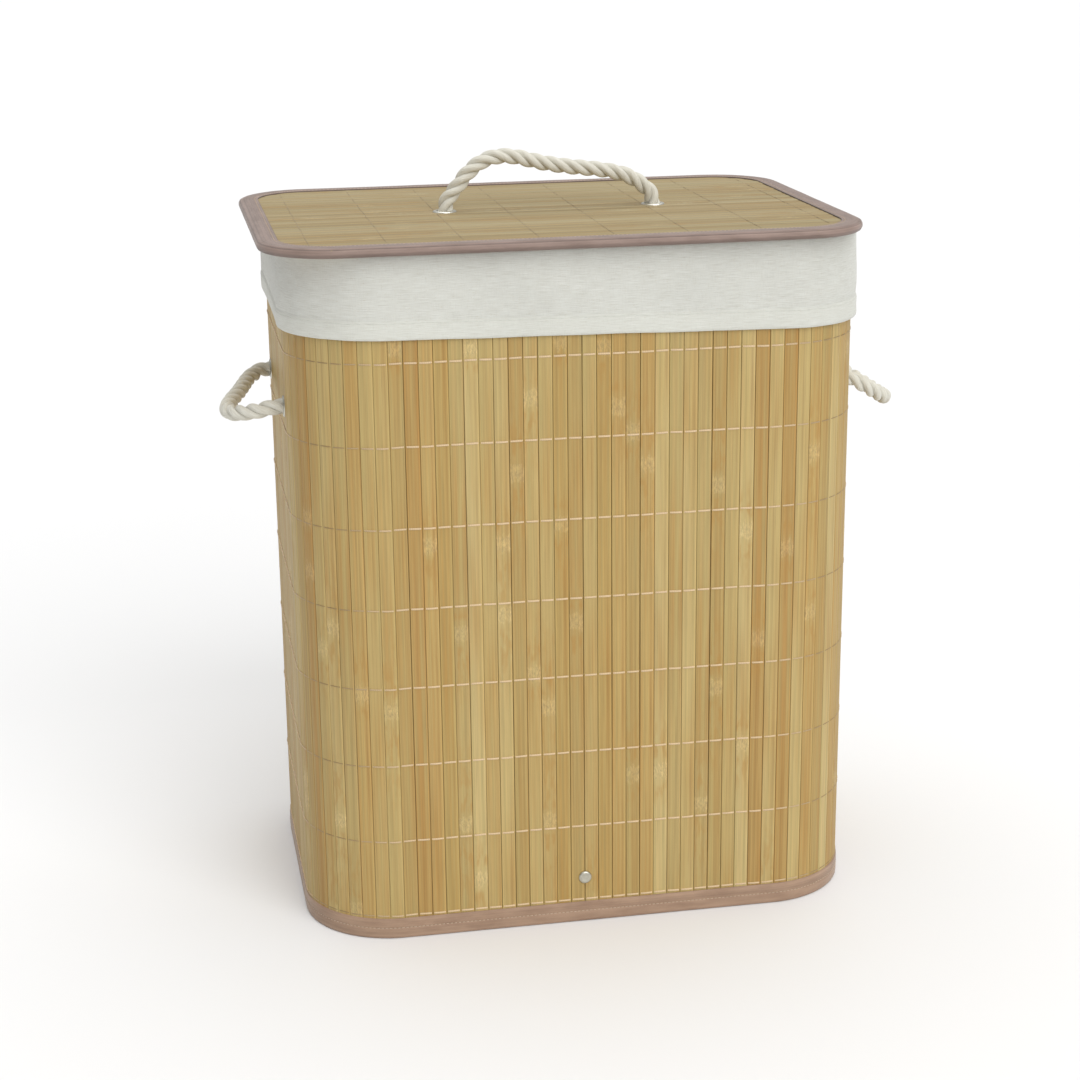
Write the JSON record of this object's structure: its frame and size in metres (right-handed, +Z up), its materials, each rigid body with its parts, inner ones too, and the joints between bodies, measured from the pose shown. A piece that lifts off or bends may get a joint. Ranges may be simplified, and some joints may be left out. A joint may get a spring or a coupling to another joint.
{
  "type": "laundry hamper",
  "caption": "Tall laundry hamper with rounded corners: bamboo slat wall on cloth, flip-up base board, lift-out cotton liner with a folded cuff, loose bamboo lid and rope handles.",
  "frame": {"origin": "middle of the hamper's underside, on the floor", "axes": "+Z up through the mouth, +Y towards the hinged (back) edge of the base, +X to the right seen from the front, where the snap fastener's cap is"},
  "size_m": [0.496, 0.298, 0.5388],
  "materials": {
    "wall_bamboo": "satin natural bamboo",
    "lid_bamboo": "satin natural bamboo",
    "binding_tape": "smooth woven tape",
    "backing_cloth": "matte non-woven",
    "fibreboard": "matte",
    "thread": "matte twisted thread",
    "nickel": "nickel plated",
    "cotton_rope": "matte three-strand cotton",
    "liner_cotton": "matte slub cotton"
  },
  "bodies": {
    "hamper": {"front_slats": "wall_bamboo", "back_slats": "wall_bamboo", "left_slats": "wall_bamboo", "right_slats": "wall_bamboo", "back_right_corner_slats": "wall_bamboo", "back_left_corner_slats": "wall_bamboo", "front_left_corner_slats": "wall_bamboo", "front_right_corner_slats": "wall_bamboo", "wall_backing": "backing_cloth", "base_binding": "binding_tape", "rim_binding": "binding_tape", "wall_stitching": "thread", "base_cover": "backing_cloth", "base_board": "fibreboard", "base_top_cloth": "backing_cloth", "base_hinge_strip": "backing_cloth", "base_flap": "backing_cloth", "snap_cap": "nickel", "snap_stud": "nickel", "snap_socket": "nickel", "left_eyelets": "nickel", "left_rope_ends": "cotton_rope", "right_eyelets": "nickel", "right_rope_ends": "cotton_rope"},
    "liner": {"liner_side": "liner_cotton", "liner_bottom": "liner_cotton", "liner_cuff": "liner_cotton"},
    "lid": {"lid_lining": "backing_cloth", "lid_board": "fibreboard", "lid_slats": "lid_bamboo", "lid_binding": "binding_tape", "lid_stitching": "thread", "lid_eyelets": "nickel", "lid_rope_ends": "cotton_rope"},
    "left_handle": {"left_rope_handle": "cotton_rope"},
    "right_handle": {"right_rope_handle": "cotton_rope"},
    "lid_handle": {"lid_rope_handle": "cotton_rope"}
  },
  "joints": [
    {"name": "liner_lift", "type": "slide", "parent": "hamper", "child": "liner", "axis": [0, 0, 1], "range_m": [0, 0.5]},
    {"name": "lid_lift", "type": "slide", "parent": "liner", "child": "lid", "axis": [0, 0, 1], "range_m": [0, 0.3]},
    {"name": "left_handle_swing", "type": "hinge", "parent": "hamper", "child": "left_handle", "pos_m": [-0.2066, 0, 0.375], "axis": [0, 1, 0], "range_deg": [-70, 98]},
    {"name": "right_handle_swing", "type": "hinge", "parent": "hamper", "child": "right_handle", "pos_m": [0.2066, 0, 0.375], "axis": [0, -1, 0], "range_deg": [-53, 115]},
    {"name": "lid_handle_swing", "type": "hinge", "parent": "lid", "child": "lid_handle", "pos_m": [0, 0.001, 0.5019], "axis": [1, 0, 0], "range_deg": [-85, 85]}
  ]
}
